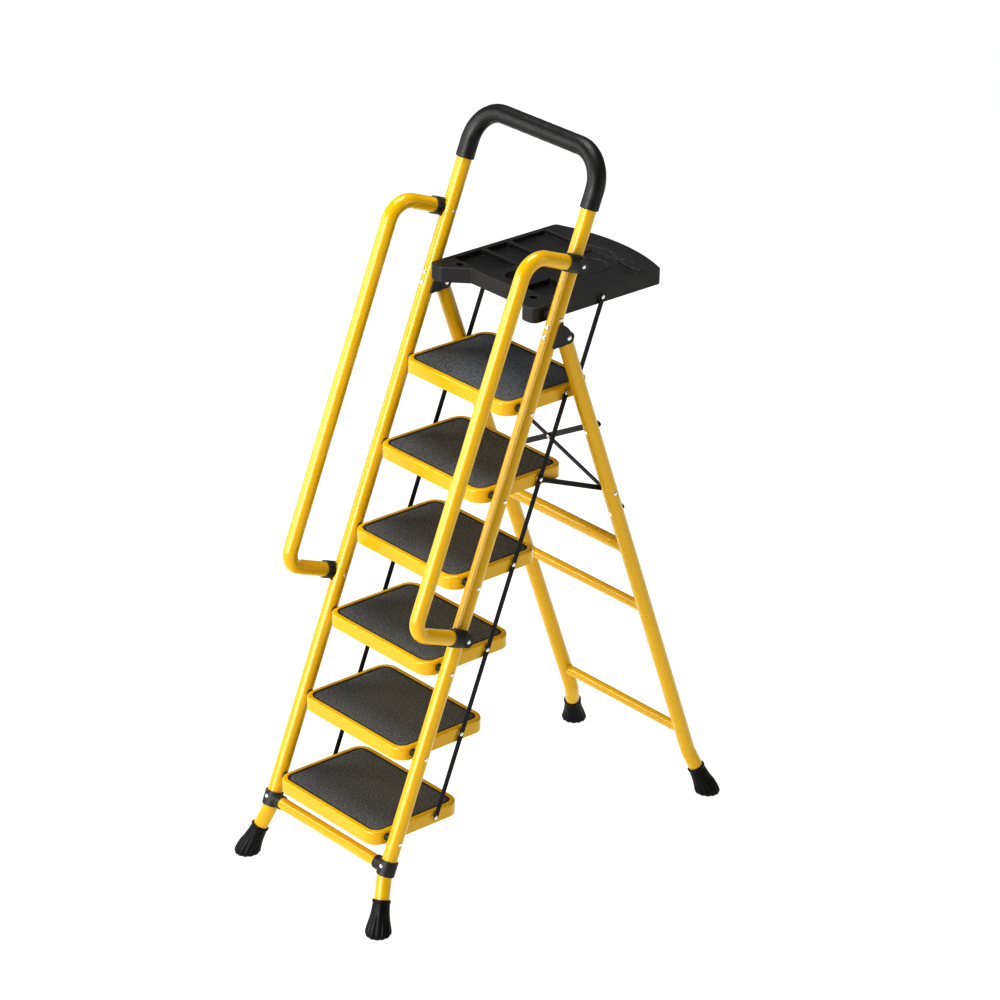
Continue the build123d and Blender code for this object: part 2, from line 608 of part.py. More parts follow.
TRAY_BOSS_R = 9.0             # plate on the tray's side that its link rod hangs from
TRAY_BOSS_T = 3.0


def tray_point(x, y, z=0.0):
    return TRAY_LEVEL + Vector(x, y, z)


def tray_outline(height, inset):
    """Outline of the tray, drawn in from its edge: bowed back, two lobes at the front corners."""
    side = PAN_X - inset
    front = TRAY_FRONT + inset
    horn = TRAY_HORN + inset
    back = TRAY_BACK - inset
    inner, outer = (x + inset * 0.4 for x in HORN_IN)
    with BuildSketch(Plane(tray_point(0, 0, height))) as outline:
        with BuildLine():
            Polyline((-side, back), (-side, horn), (-outer, horn), (-inner, front),
                     (inner, front), (outer, horn), (side, horn), (side, back))
            ThreePointArc((side, back), (0, TRAY_BOW - inset), (-side, back))
        make_face()
        fillet(outline.vertices().sort_by(Axis.Y)[:4], TRAY_HORN_CORNER - inset)
        fillet(outline.vertices().sort_by(Axis.Y)[-2:], TRAY_CORNER - inset)
    return outline.sketch


def tray_post(x, y, radius):
    """Solid post under the tray's deck, to be bored through."""
    foot = TRAY_TOP - TRAY_DEEP + TRAY_WALL
    bar(tray_point(x, y, TRAY_TOP - TRAY_WALL / 2), tray_point(x, y, foot), radius + POCKET_SKIN)


def ridge_outline(height):
    """Outline of the wavy ridge in front of the tray's back strip."""
    with BuildSketch(Plane(tray_point(0, 0, height))) as outline:
        with BuildLine() as wave:
            Spline(*RIDGE)
        trace(wave.line, RIDGE_W)
    return outline.sketch


def make_tray():
    top = TRAY_TOP
    bottom = TRAY_TOP - TRAY_DEEP
    horn_holes = [(sign * HORN_HOLE[0], *HORN_HOLE[1:]) for sign in (-1, 1)]
    with BuildPart() as tray:
        extrude(tray_outline(bottom, 0), amount=TRAY_DEEP)
        fillet(tray.faces().sort_by(Axis.Z)[-1].edges(), TRAY_EDGE)
        extrude(tray_outline(bottom, TRAY_WALL), amount=TRAY_DEEP - TRAY_WALL, mode=Mode.SUBTRACT)
        for x, y, width, length, down in POCKETS.values():
            with BuildSketch(Plane(tray_point(x, y, top - TRAY_WALL / 2))):
                RectangleRounded(width + 2 * POCKET_SKIN, length + 2 * POCKET_SKIN,
                                 POCKET_CORNER + POCKET_SKIN)
            extrude(amount=TRAY_WALL / 2 - down - POCKET_SKIN)
        for hole in [CUP] + horn_holes:
            tray_post(*hole)
        for side in SIDES.values():
            rod_end = TRAY_PIN + Vector(0, TRAY_CRANK, 0)
            bar(*across(rod_end, side, PAN_X - TRAY_WALL, PAN_X + TRAY_BOSS_T), TRAY_BOSS_R)
        for x, y, width, length, down in POCKETS.values():
            with BuildSketch(Plane(tray_point(x, y, top - down))):
                RectangleRounded(width, length, POCKET_CORNER)
            extrude(amount=down + 1, mode=Mode.SUBTRACT)
        with BuildSketch(Plane(tray_point(RING[0], RING[1], top - POCKETS["centre"][-1]))):
            Circle(RING[2])
            Circle(RING[2] - RING_W, mode=Mode.SUBTRACT)
        extrude(amount=RING_H)
        floor = top - POCKETS["centre"][-1]
        extrude(ridge_outline(floor), amount=top - floor + RIDGE_H)
        for x, y, radius in [CUP] + horn_holes + STRIP_HOLES:
            bar(tray_point(x, y, bottom - 1), tray_point(x, y, top + 1), radius, Mode.SUBTRACT)
        for side in SIDES.values():
            for reach in (0.0, TRAY_CRANK):
                bar(*across(TRAY_PIN + Vector(0, reach, 0), side, PAN_X - 9, PAN_X + 9), PIN_R + FIT,
                    Mode.SUBTRACT)
    write(tray, "tool_tray")


# ---- build everything ---------------------------------------------------------------------------
make_front_tube()
make_grip()
make_crossbar()
for label, side in SIDES.items():
    make_crossbar_bracket(f"crossbar_bracket_{label}", side)
    make_handrail(f"handrail_{label}", side)
    make_rail_bracket(f"handrail_bracket_lower_{label}", side, RAIL_LOW)
    make_rail_bracket(f"handrail_bracket_upper_{label}", side, RAIL_HIGH)
    make_foot(f"front_foot_{label}", side, True)
    make_foot(f"rear_foot_{label}", side, False)
    make_rear_leg(f"rear_leg_{label}", side)
    make_pivot_bracket(f"rear_pivot_bracket_{label}", side)
    make_links(label, side)
for label, (height, radius) in REAR_BARS.items():
    make_rear_bar(f"rear_crossbar_{label}", height, radius)
make_brace("cross_brace_a", 1, 1)
make_brace("cross_brace_b", -1, 0)
make_brace_rivets()
for number in PINS:
    make_pan(f"step_pan_{number}", number)
    make_mat(f"step_mat_{number}", number)
make_hinge_hardware()
make_strut_pins()
make_pivot_pins()
make_frame_bolts()
make_tray()
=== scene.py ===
"""Looks of the folding platform step ladder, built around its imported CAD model.

Metres, in the CAD frame: +X on the climber's right, +Y away from the climber, +Z up.
"""

import json
import math
import random

import bpy
from mathutils import Matrix, Vector


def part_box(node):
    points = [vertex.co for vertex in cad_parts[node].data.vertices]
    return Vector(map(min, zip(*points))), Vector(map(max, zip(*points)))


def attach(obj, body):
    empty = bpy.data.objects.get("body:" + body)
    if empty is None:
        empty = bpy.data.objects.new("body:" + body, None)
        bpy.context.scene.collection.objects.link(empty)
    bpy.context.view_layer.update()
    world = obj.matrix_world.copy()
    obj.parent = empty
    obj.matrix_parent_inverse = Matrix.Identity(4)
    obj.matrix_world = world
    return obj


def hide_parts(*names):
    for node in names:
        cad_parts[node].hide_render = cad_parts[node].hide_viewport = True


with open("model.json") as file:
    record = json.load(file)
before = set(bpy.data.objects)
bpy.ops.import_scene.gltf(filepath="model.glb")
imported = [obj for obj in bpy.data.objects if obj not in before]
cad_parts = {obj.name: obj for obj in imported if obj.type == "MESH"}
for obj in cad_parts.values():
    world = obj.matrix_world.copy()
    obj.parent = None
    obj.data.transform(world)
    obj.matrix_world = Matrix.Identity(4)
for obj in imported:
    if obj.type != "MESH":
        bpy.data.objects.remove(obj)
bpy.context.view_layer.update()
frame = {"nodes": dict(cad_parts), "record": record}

# ---- driving dimensions -------------------------------------------------------------------------
LEAN = math.radians(21.0)            # front frame, from the vertical
REAR_LEAN = math.radians(20.52)      # rear frame, from the vertical
STILE_X = 0.222                      # stile and rear leg centre lines, from the middle
SPLAY_RUN = 0.134                    # length of a splayed leg end
TUBE_R = 0.019
SIDES = {"left": -1, "right": 1}

GRIP_R = 0.023
GRIP_RUN = (1.829, 1.961)            # lower ends and top bar of the grip, along the stile
HANDLE_BEND = 0.088                  # radius of the handle's bends, to the tube's axis

TREADS = 6
MAT_CORNER = 0.025                   # corner radius of a mat
MAT_PAINTED_SHADE_EDGE = 0.0050                  # width of the smooth edge round the grained field, painted dark as the shade of the gap round the mat

FOOT_R = 0.0325                      # boot: sole radius, height along the leg, neck and collar
FOOT_TOP = 0.086
FOOT_NECK_R = 0.0212
FOOT_LIP_R = 0.0228

REAR_BARS = {"upper": 0.016, "middle": 0.013, "lower": 0.013}   # radius of each rear crossbar


# ---- node materials -----------------------------------------------------------------------------
class Finish:
    """A material's node tree around one Principled shader, in the object's own coordinates."""

    def __init__(self, name):
        self.material = bpy.data.materials.new(name)
        self.material.use_nodes = True
        self.tree = self.material.node_tree
        self.shader = self.tree.nodes["Principled BSDF"]
        self.coords = self.tree.nodes.new("ShaderNodeTexCoord").outputs["Object"]

    def node(self, kind, inputs=None, **settings):
        """New node with its inputs fed by name and its settings set."""
        made = self.tree.nodes.new(kind)
        for key, value in settings.items():
            setattr(made, key, value)
        for key, value in (inputs or {}).items():
            self.feed(made.inputs[key], value)
        return made

    def feed(self, socket, value):
        """Links a socket to an input, or sets the input to a plain value."""
        if isinstance(value, bpy.types.NodeSocket):
            self.tree.links.new(value, socket)
        else:
            socket.default_value = value

    def set(self, **inputs):
        """Feeds the shader's inputs; an underscore stands for a space."""
        for key, value in inputs.items():
            self.feed(self.shader.inputs[key.replace("_", " ")], value)

    def noise(self, scale, detail=2.0, roughness=0.5, stretch=None):
        """Cloudy noise around 0.5, stretched along the axes if asked."""
        coords = self.coords
        if stretch:
            coords = self.node("ShaderNodeMapping", {"Vector": coords, "Scale": stretch}).outputs[0]
        settings = {"Vector": coords, "Scale": scale, "Detail": detail, "Roughness": roughness}
        return self.node("ShaderNodeTexNoise", settings).outputs["Fac"]

    def cells(self, scale):
        """Distance to the nearest of many scattered points."""
        settings = {"Vector": self.coords, "Scale": scale}
        return self.node("ShaderNodeTexVoronoi", settings, feature="F1").outputs["Distance"]

    def ramp(self, value, low, high, to_low=0.0, to_high=1.0):
        """Straight ramp between two limits, clamped beyond them."""
        settings = {"Value": value, "From Min": low, "From Max": high,
                    "To Min": to_low, "To Max": to_high}
        return self.node("ShaderNodeMapRange", settings).outputs["Result"]

    def math(self, operation, first, second):
        """One operation on two values."""
        made = self.node("ShaderNodeMath", operation=operation)
        self.feed(made.inputs[0], first)
        self.feed(made.inputs[1], second)
        return made.outputs[0]

    def blend(self, factor, first, second):
        """Colour that goes from the first to the second as the factor goes from 0 to 1."""
        made = self.node("ShaderNodeMix", data_type="RGBA")
        self.feed(made.inputs["Factor"], factor)
        self.feed(made.inputs[6], first)
        self.feed(made.inputs[7], second)
        return made.outputs[2]

    def edges(self, radius, sharpest=0.8, dullest=0.96, patches=(0.45, 0.62)):
        """1 near sharp edges and 0 elsewhere, broken into patches by noise.

        An edge is where the rounded normal leaves the face's own; the limits are their cosines.
        """
        rounded = self.rounded(radius)
        plain = self.node("ShaderNodeNewGeometry").outputs["Normal"]
        alike = self.node("ShaderNodeVectorMath", operation="DOT_PRODUCT")
        self.feed(alike.inputs[0], rounded)
        self.feed(alike.inputs[1], plain)
        sharp = self.ramp(alike.outputs["Value"], dullest, sharpest)
        return self.math("MULTIPLY", sharp, self.ramp(self.noise(90.0, 4.0), *patches))

    def rounded(self, radius):
        """Normals as if sharp edges had a small round."""
        return self.node("ShaderNodeBevel", {"Radius": radius}, samples=4).outputs[0]

    def bump(self, height, strength, distance, normal=None):
        """Normal tilted by a height, on top of another normal if there is one."""
        settings = {"Height": height, "Strength": strength, "Distance": distance}
        made = self.node("ShaderNodeBump", settings)
        if normal:
            self.feed(made.inputs["Normal"], normal)
        return made.outputs[0]


def rgb(red, green, blue):
    """Opaque colour in linear light."""
    return (red, green, blue, 1.0)


def make_yellow_paint():
    """Glossy powder coat: fine orange peel, a faint tone drift, paler where edges get rubbed."""
    f = Finish("yellow_paint")
    tone = f.ramp(f.noise(3.0, 2.0), 0.3, 0.7)
    colour = f.blend(tone, rgb(0.757, 0.470, 0.001), rgb(0.782, 0.490, 0.001))
    worn = f.edges(0.0015)
    colour = f.blend(f.math("MULTIPLY", worn, 0.3), colour, rgb(0.92, 0.68, 0.16))
    scuff = f.ramp(f.noise(38.0, 6.0, 0.65), 0.56, 0.72)
    peel = f.bump(f.noise(420.0, 2.0), 0.04, 0.0006, f.rounded(0.0008))
    rough = f.ramp(f.noise(60.0, 3.0), 0.3, 0.7, 0.26, 0.33)
    rough = f.math("ADD", rough, f.math("MULTIPLY", worn, 0.2))
    rough = f.math("ADD", rough, f.math("MULTIPLY", scuff, 0.04))
    f.set(Base_Color=colour, Roughness=rough, Normal=peel)
    f.set(Specular_IOR_Level=0.2, Coat_Weight=1.0, Coat_Roughness=0.15, Coat_IOR=1.38)
    return f.material


def make_black_plastic():
    """Moulded satin plastic with a fine spark texture, and paler edges that are partly rubbed wear and
    partly a painted highlight.
    """
    f = Finish("black_plastic")
    tone = f.ramp(f.noise(14.0, 4.0), 0.3, 0.7)
    colour = f.blend(tone, rgb(0.014, 0.014, 0.0145), rgb(0.021, 0.021, 0.0215))
    # Painted highlight, partly wear: the paler edges stand for light caught along the edges as well as
    # for rubbing.
    worn = f.edges(0.0022, 0.9, 0.99, patches=(0.30, 0.50))
    colour = f.blend(f.math("MULTIPLY", worn, 0.8), colour, rgb(0.17, 0.17, 0.17))
    grain = f.bump(f.noise(1500.0, 3.0, 0.6), 0.2, 0.0003, f.rounded(0.0012))
    rough = f.ramp(f.noise(35.0, 5.0), 0.3, 0.7, 0.36, 0.48)
    f.set(Base_Color=colour, Roughness=rough, Normal=grain, Specular_IOR_Level=0.4)
    return f.material


def make_black_foam():
    """Dense closed-cell foam: matt pores under a soft skin."""
    f = Finish("black_foam")
    pores = f.cells(900.0)
    tone = f.ramp(f.noise(25.0, 4.0), 0.3, 0.7)
    colour = f.blend(tone, rgb(0.006, 0.006, 0.006), rgb(0.010, 0.010, 0.010))
    # Painted shade: darker in the pits of the pores.
    colour = f.blend(f.ramp(pores, 0.0, 0.35), rgb(0.003, 0.003, 0.003), colour)
    skin = f.bump(f.noise(300.0, 3.0), 0.12, 0.0006)
    normal = f.bump(pores, 0.25, 0.0003, skin)
    rough = f.ramp(f.noise(60.0, 3.0), 0.3, 0.7, 0.36, 0.46)
    f.set(Base_Color=colour, Roughness=rough, Normal=normal, Specular_IOR_Level=0.4)
    return f.material


def make_mat_rubber():
    """Non-slip rubber sheet: granular speckle inside a smooth edge that is painted dark as the shade
    of the gap round the mat.
    """
    f = Finish("mat_rubber")
    painted_shade_border = f.node("ShaderNodeAttribute", attribute_name="painted_shade_border").outputs["Fac"]
    grain = f.noise(620.0, 4.0, 0.75)
    speck = f.ramp(f.noise(210.0, 3.0, 0.7), 0.42, 0.58)
    colour = f.blend(speck, rgb(0.046, 0.051, 0.056), rgb(0.150, 0.163, 0.178))
    trodden = f.ramp(f.noise(9.0, 4.0), 0.45, 0.75)
    colour = f.blend(f.math("MULTIPLY", trodden, 0.25), colour, rgb(0.158, 0.170, 0.184))
    # Painted shade: the edge band is darkened to stand for the shadowed gap round the mat.
    colour = f.blend(painted_shade_border, colour, rgb(0.016, 0.016, 0.016))
    field = f.math("SUBTRACT", 1.0, painted_shade_border)
    normal = f.bump(f.math("MULTIPLY", grain, field), 0.6, 0.0008)
    f.set(Base_Color=colour, Roughness=f.ramp(grain, 0.3, 0.7, 0.5, 0.7), Normal=normal)
    return f.material


def make_foot_rubber():
    """Soft moulded rubber, dusty on the lowest centimetre of the boot."""
    f = Finish("foot_rubber")
    height = f.node("ShaderNodeSeparateXYZ", {"Vector": f.coords}).outputs["Z"]
    low = f.ramp(height, 0.010, 0.0)
    dust = f.math("MULTIPLY", low, f.ramp(f.noise(220.0, 5.0, 0.7), 0.35, 0.65))
    tone = f.ramp(f.noise(40.0, 4.0), 0.3, 0.7)
    colour = f.blend(tone, rgb(0.003, 0.003, 0.003), rgb(0.006, 0.006, 0.006))
    colour = f.blend(f.math("MULTIPLY", dust, 0.35), colour, rgb(0.08, 0.075, 0.07))
    normal = f.bump(f.noise(900.0, 3.0, 0.6), 0.2, 0.0004)
    rough = f.ramp(f.noise(70.0, 4.0), 0.3, 0.7, 0.36, 0.52)
    f.set(Base_Color=colour, Roughness=rough, Normal=normal, Specular_IOR_Level=0.2)
    return f.material


def make_zinc():
    """Bright zinc plate with drawn scratches and a few dull blooms."""
    f = Finish("zinc")
    bloom = f.ramp(f.noise(160.0, 4.0), 0.45, 0.7)
    colour = f.blend(bloom, rgb(0.86, 0.87, 0.88), rgb(0.66, 0.67, 0.68))
    drawn = f.noise(1200.0, 2.0, stretch=(0.15, 1.0, 1.0))
    f.set(Base_Color=colour, Metallic=0.9, Roughness=f.ramp(bloom, 0.0, 1.0, 0.26, 0.45))
    f.set(Normal=f.bump(drawn, 0.15, 0.0002))
    return f.material


def make_black_steel():
    """Satin black paint on flat steel bar, worn to grey along its edges."""
    f = Finish("black_steel")
    worn = f.edges(0.0010)
    tone = f.ramp(f.noise(30.0, 4.0), 0.3, 0.7)
    colour = f.blend(tone, rgb(0.003, 0.003, 0.003), rgb(0.007, 0.007, 0.007))
    colour = f.blend(f.math("MULTIPLY", worn, 0.35), colour, rgb(0.10, 0.10, 0.10))
    rough = f.ramp(f.noise(80.0, 4.0), 0.3, 0.7, 0.34, 0.46)
    f.set(Base_Color=colour, Roughness=rough, Normal=f.bump(f.noise(500.0, 2.0), 0.12, 0.0004))
    f.set(Specular_IOR_Level=0.25)
    return f.material


FINISHES = {
    "yellow_paint": make_yellow_paint(),
    "black_plastic": make_black_plastic(),
    "black_foam": make_black_foam(),
    "mat_rubber": make_mat_rubber(),
    "foot_rubber": make_foot_rubber(),
    "zinc": make_zinc(),
    "black_steel": make_black_steel(),
}


def dress_cad_nodes():
    """Each CAD node takes the finish of its own material slot."""
    slots = {part["node"]: part["material_slot"] for part in frame["record"]["subparts"]}
    for name, node in frame["nodes"].items():
        for entry in node.material_slots:
            entry.material = FINISHES[slots[name]]


# ---- mesh tools ---------------------------------------------------------------------------------
def add_piece(name, points, faces, slot, body, replaced=()):
    """New smooth mesh piece that rides on a body and stands for some CAD nodes."""
    mesh = bpy.data.meshes.new(name)
    mesh.from_pydata(points, [], faces)
    mesh.validate()
    mesh.shade_smooth()
    piece = bpy.data.objects.new(name, mesh)
    bpy.context.scene.collection.objects.link(piece)
    mesh.materials.append(FINISHES[slot])
    if replaced:
        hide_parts(*replaced)
    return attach(piece, body)


def skin(rings, cyclic):
    """Points and quads through rings of equal length; cyclic joins the last ring to the first."""
    count = len(rings[0])
    points = [point for ring in rings for point in ring]
    faces = []
    for ring in range(len(rings) if cyclic else len(rings) - 1):
        here, there = ring * count, (ring + 1) % len(rings) * count
        for i in range(count):
            j = (i + 1) % count
            faces.append((here + i, here + j, there + j, there + i))
    return points, faces


def cap(faces, start, count, flip=False):
    """Closes a ring of points with one face."""
    ring = tuple(range(start, start + count))
    faces.append(ring[::-1] if flip else ring)


def up_stile(run, ahead=0.0, x=0.0):
    """Point along the stile from the ground, and square out in front of its axis."""
    foot_y = frame_foot("front_foot_left").y
    return Vector((x, foot_y + run * math.sin(LEAN) - ahead * math.cos(LEAN),
                   run * math.cos(LEAN) + ahead * math.sin(LEAN)))


def frame_foot(name):
    """Ground centre of a foot, from the mount that bears its name."""
    return next(Vector(mount["pos_m"]) for mount in frame["record"]["mounts"] if mount["name"] == name)


# ---- handle grip --------------------------------------------------------------------------------
GRIP_AROUND = 40                     # points round the foam
GRIP_STEP = 0.004                    # between its rings
GRIP_INNER_STEP = 4                  # rings of the bore, one for so many outside
GRIP_FIT = 0.0002                    # gap round the tube, and foam kept inside the CAD skin
GRIP_LIP = 0.003                     # length of a rolled end
GRIP_ROLL = [(0.0, 0.35), (0.12, 0.62), (0.35, 0.85), (0.7, 0.98)]   # shares of the lip and the wall
GRIP_SWELL = 0.00012                 # height of the slow ripple, and its turn per ring
GRIP_SWELL_TURN = 0.7


def grip_route():
    """Points and directions of the grip's centre line, as (x, run, angle)."""
    low, high = GRIP_RUN
    bend = HANDLE_BEND
    quarter = bend * math.pi / 2
    upright = high - bend - low
    flat = 2 * (STILE_X - bend)
    total = 2 * upright + 2 * quarter + flat
    count = round(total / GRIP_STEP)
    route = []
    for i in range(count + 1):
        s = total * i / count
        mirrored = s > total / 2
        d = total - s if mirrored else s
        if d < upright:
            x, run, angle = -STILE_X, low + d, math.pi / 2
        elif d < upright + quarter:
            turn = (d - upright) / bend
            x = -STILE_X + bend * (1 - math.cos(turn))
            run, angle = high - bend + bend * math.sin(turn), math.pi / 2 - turn
        else:
            x, run, angle = -STILE_X + bend + d - upright - quarter, high, 0.0
        if mirrored:
            x, angle = -x, -angle
        route.append((x, run, angle))
    return route


def make_grip():
    """Foam tube with rolled ends and a slow ripple along the outside."""
    route = grip_route()
    outside, inside = [], []
    last = len(route) - 1
    inner = TUBE_R + GRIP_FIT

    def ring(index, radius, shift=0.0):
        """Circle square to the route, moved along it by a shift."""
        x, run, angle = route[index]
        along = Vector((1, 0, 0)) * math.cos(angle) + (up_stile(1) - up_stile(0)) * math.sin(angle)
        ahead = up_stile(0, 1) - up_stile(0)
        side = along.cross(ahead).normalized()
        centre = up_stile(run, 0, x) + along * shift
        points = []
        for i in range(GRIP_AROUND):
            turn = 2 * math.pi * i / GRIP_AROUND
            points.append(centre + (side * math.cos(turn) + ahead * math.sin(turn)) * radius)
        return points

    for shift, share in GRIP_ROLL:
        outside.append(ring(0, inner + (GRIP_R - inner) * share, shift * GRIP_LIP))
    for index in range(1, last):
        swell = GRIP_SWELL * math.sin(index * GRIP_SWELL_TURN)
        outside.append(ring(index, GRIP_R - GRIP_FIT + swell))
    for shift, share in GRIP_ROLL[::-1]:
        outside.append(ring(last, inner + (GRIP_R - inner) * share, -shift * GRIP_LIP))
    for index in range(last, -1, -GRIP_INNER_STEP):
        inside.append(ring(index, inner))
    points, faces = skin(outside + inside, cyclic=True)
    grip = add_piece("handle_grip_foam", points, faces, "black_foam", "front_frame", ["handle_grip"])


# ---- tread mats ---------------------------------------------------------------------------------
QUADRANTS = [(1, 1), (-1, 1), (-1, -1), (1, -1)]
CORNER_PARTS = 8                     # pieces of each rounded corner
SIDE_POINTS = (24, 16)               # points between corners, along x and along y
TIGHTEST_CORNER = 0.0005
MAT_CHAMFER = (0.0004, 0.0005)       # lower edge: inwards and upwards
MAT_BEAD = [                         # inset from the outline, height above the top face
    (0.0, -0.0012), (0.0006, -0.0004), (0.0016, 0.0), (0.0036, 0.0), (0.0044, -0.0004),
    (MAT_PAINTED_SHADE_EDGE, -0.0009), (0.0056, -0.0009), (0.0068, -0.0004)]
MAT_LOOPS = 24                       # steps from the bead to the middle


def rounded_outline(half_x, half_y, corner, inset):
    """Points round a rounded rectangle drawn in by an inset."""
    corner = max(corner - inset, TIGHTEST_CORNER)
    half_x, half_y = half_x - inset, half_y - inset
    points = []
    for quadrant, (sx, sy) in enumerate(QUADRANTS):
        middle = Vector((sx * (half_x - corner), sy * (half_y - corner)))
        for i in range(CORNER_PARTS + 1):
            turn = math.pi / 2 * (quadrant + i / CORNER_PARTS)
            points.append(middle + Vector((math.cos(turn), math.sin(turn))) * corner)
        following = QUADRANTS[(quadrant + 1) % 4]
        count = SIDE_POINTS[quadrant % 2]
        start = points[-1]
        turn = math.pi / 2 * (quadrant + 1)
        target = Vector((following[0] * (half_x - corner), following[1] * (half_y - corner)))
        target += Vector((math.cos(turn), math.sin(turn))) * corner
        points.extend(start.lerp(target, i / (count + 1)) for i in range(1, count + 1))
    return points


def make_mat(number):
    """Rubber sheet with a raised bead and a narrow groove round a level field."""
    name = f"step_mat_{number}"
    low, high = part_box(name)
    middle = (low + high) / 2
    half = (high - low) / 2
    top = high.z
    bottom = low.z - top
    steps = [(MAT_CHAMFER[0], bottom), (0.0, bottom + MAT_CHAMFER[1])] + MAT_BEAD
    edge, field = MAT_BEAD[-1]
    inwards = [edge + (half.y - edge) * (i / MAT_LOOPS) for i in range(1, MAT_LOOPS)]
    rings = []
    for inset, rise in steps + [(inset, field) for inset in inwards]:
        outline = rounded_outline(half.x, half.y, MAT_CORNER, inset)
        rings.append([Vector((middle.x + p.x, middle.y + p.y, top + rise)) for p in outline])
    points, faces = skin(rings, cyclic=False)
    count = len(rings[0])
    cap(faces, 0, count, flip=True)
    cap(faces, len(points) - count, count)
    mat = add_piece(f"tread_mat_{number}", points, faces, "mat_rubber", f"step_{number}", [name])
    # Marks the edge band that the rubber's material paints dark as the shade of the gap round the mat.
    painted_shade_border = mat.data.attributes.new("painted_shade_border", "FLOAT", "POINT")
    inside = next(i for i, (inset, _) in enumerate(steps) if inset > MAT_PAINTED_SHADE_EDGE)
    painted_shade_border.data.foreach_set("value", [1.0 if i < inside * count else 0.0 for i in range(len(points))])


# ---- rubber boots -------------------------------------------------------------------------------
BOOT_AROUND = 144                    # points round a boot
BOOT_LEVEL = 0.30                    # share of the height where its rings are square to the leg
FLUTES = 12
FLUTE_DEPTH = 0.0036
FLUTE_SHARPNESS = 1.5                # higher is narrower
BOOT_PROFILE = [                     # share of the height, radius, share of the flutes' depth
    (0.0, FOOT_R - 0.0060, 0.6), (0.012, FOOT_R - 0.0034, 0.85), (0.035, FOOT_R - 0.0012, 1.0),
    (0.07, FOOT_R - 0.0001, 1.0), (0.12, FOOT_R - 0.0001, 1.0), (0.20, FOOT_R - 0.0014, 0.95),
    (0.30, FOOT_R - 0.0036, 0.8), (0.45, FOOT_R - 0.0068, 0.45), (0.60, FOOT_R - 0.0090, 0.15),
    (0.75, FOOT_R - 0.0104, 0.0), (0.86, FOOT_NECK_R + 0.0002, 0.08), (0.90, FOOT_NECK_R, 0.0),
    (0.912, FOOT_NECK_R + 0.0004, 0.0), (0.925, FOOT_LIP_R - 0.0004, 0.0), (0.95, FOOT_LIP_R, 0.0),
    (0.98, FOOT_LIP_R - 0.0003, 0.0), (1.0, FOOT_LIP_R - 0.0014, 0.0), (1.0, TUBE_R + 0.0012, 0.0),
    (0.985, TUBE_R + 0.0003, 0.0)]


def boot_axis(name, side, front):
    """Ground centre of a boot and the direction of the leg in it."""
    ground = frame_foot(name)
    lean = LEAN if front else -REAR_LEAN
    along = Vector((0, math.sin(lean), math.cos(lean)))
    bend = Vector((side * STILE_X, ground.y, 0)) + along * SPLAY_RUN
    return ground, (bend - ground).normalized()


def make_boot(side_name, side, front):
    """Fluted boot: a flat round sole, flutes that fade towards the neck, and a rolled collar."""
    name = f"{'front' if front else 'rear'}_foot_{side_name}"
    ground, up = boot_axis(name, side, front)
    x_dir = Vector((1, 0, 0))
    y_dir = Vector((0, 1, 0))
    u_dir = (x_dir - up * x_dir.dot(up)).normalized()
    v_dir = up.cross(u_dir)
    rings = []
    for share, radius, flute in BOOT_PROFILE:
        centre = ground + up * (share * FOOT_TOP)
        flat = max(0.0, 1 - share / BOOT_LEVEL)       # 1 at the level sole, 0 where square to the leg
        ring = []
        for i in range(BOOT_AROUND):
            turn = 2 * math.pi * i / BOOT_AROUND
            groove = (1 - abs(math.sin(turn * FLUTES / 2))) ** FLUTE_SHARPNESS * FLUTE_DEPTH * flute
            r = radius - groove
            square = centre + (u_dir * math.cos(turn) + v_dir * math.sin(turn)) * r
            level = centre + (x_dir * math.cos(turn) + y_dir * math.sin(turn)) * r
            ring.append(square.lerp(level, flat))
        rings.append(ring)
    points, faces = skin(rings, cyclic=False)
    cap(faces, 0, BOOT_AROUND, flip=True)
    cap(faces, len(points) - BOOT_AROUND, BOOT_AROUND)
    body = "front_frame" if front else "rear_frame"
    add_piece(f"{name}_boot", points, faces, "foot_rubber", body, [name])


# ---- weld beads ---------------------------------------------------------------------------------
WELD_AROUND = 96                     # points round the bar
WELD_SECTION = 8                     # points round the bead
WELD_R = 0.0019
WELD_MEAN = 0.9                      # mean share of the radius, its ripple and its random part
WELD_RIPPLE = 0.12
WELD_CHANCE = 0.04
WELD_RIPPLES = 22                    # ripples round the bar


def make_weld(bar_name, side_name, side, bar_r):
    """Rippled fillet weld where a rear crossbar meets a leg."""
    low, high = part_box(f"rear_crossbar_{bar_name}")
    centre = (low + high) / 2
    leg_up = Vector((0, -math.sin(REAR_LEAN), math.cos(REAR_LEAN)))
    leg_out = Vector((0, math.cos(REAR_LEAN), math.sin(REAR_LEAN)))
    chance = random.Random(f"{bar_name}{side_name}")
    inward = Vector((-side, 0, 0))
    rings = []
    for i in range(WELD_AROUND):
        turn = 2 * math.pi * i / WELD_AROUND
        radial = leg_up * math.cos(turn) + leg_out * math.sin(turn)
        off = bar_r * math.sin(turn)
        reach = STILE_X - math.sqrt(TUBE_R ** 2 - off ** 2)
        middle = Vector((side * reach, centre.y, centre.z)) + radial * bar_r
        ripple = WELD_RIPPLE * math.sin(turn * WELD_RIPPLES)
        thick = WELD_R * (WELD_MEAN + ripple + chance.uniform(-WELD_CHANCE, WELD_CHANCE))
        ring = []
        for j in range(WELD_SECTION):
            about = 2 * math.pi * j / WELD_SECTION
            ring.append(middle + (radial * math.cos(about) + inward * math.sin(about)) * thick)
        rings.append(ring)
    points, faces = skin(rings, cyclic=True)
    add_piece(f"weld_{bar_name}_{side_name}", points, faces, "yellow_paint", "rear_frame")


